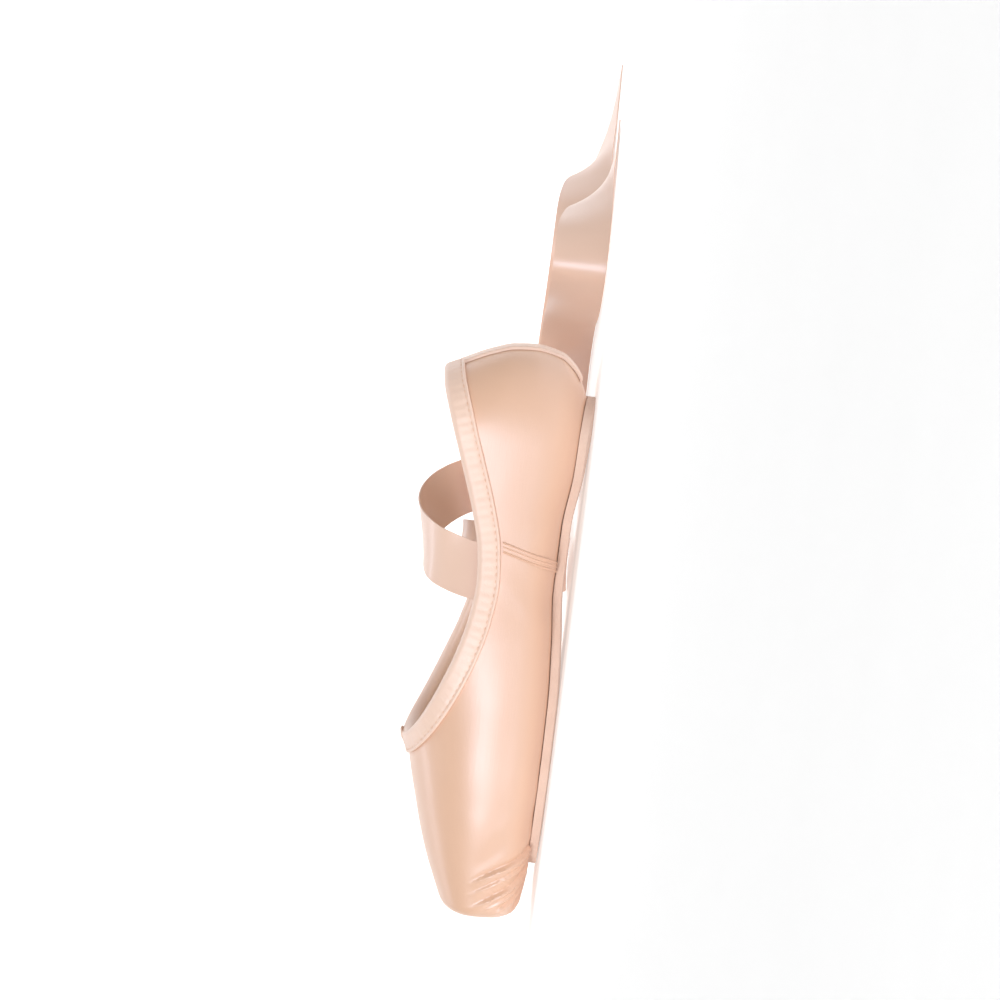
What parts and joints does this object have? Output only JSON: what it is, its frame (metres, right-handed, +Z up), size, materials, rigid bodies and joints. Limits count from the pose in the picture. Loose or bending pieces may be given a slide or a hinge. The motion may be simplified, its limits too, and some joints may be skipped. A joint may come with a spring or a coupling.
{
  "type": "pointe shoe",
  "caption": "Satin pointe shoe with a flat blocked toe, bound collar, thin leather sole and loose ankle ribbons.",
  "frame": {"origin": "middle of the shoe's length and width, on the floor under the sole, ribbons left out", "axes": "+X from the toe to the heel, +Y to the far side, +Z up from the floor"},
  "size_m": [0.3204, 0.2866, 0.065],
  "materials": {
    "satin": "glossy peach satin",
    "tape": "dull cotton casing and tape, lighter than the satin",
    "ribbon": "satin ribbon",
    "sole_leather": "brushed leather",
    "insole_board": "cloth covered board"
  },
  "bodies": {
    "root": {"upper": "satin", "outsole": "sole_leather", "insole": "insole_board", "collar_binding": "tape", "throat_tuck": "tape", "heel_strip": "tape", "side_seam_near": "tape", "side_seam_far": "tape", "ribbon_near": "ribbon", "ribbon_far": "ribbon"}
  },
  "joints": []
}
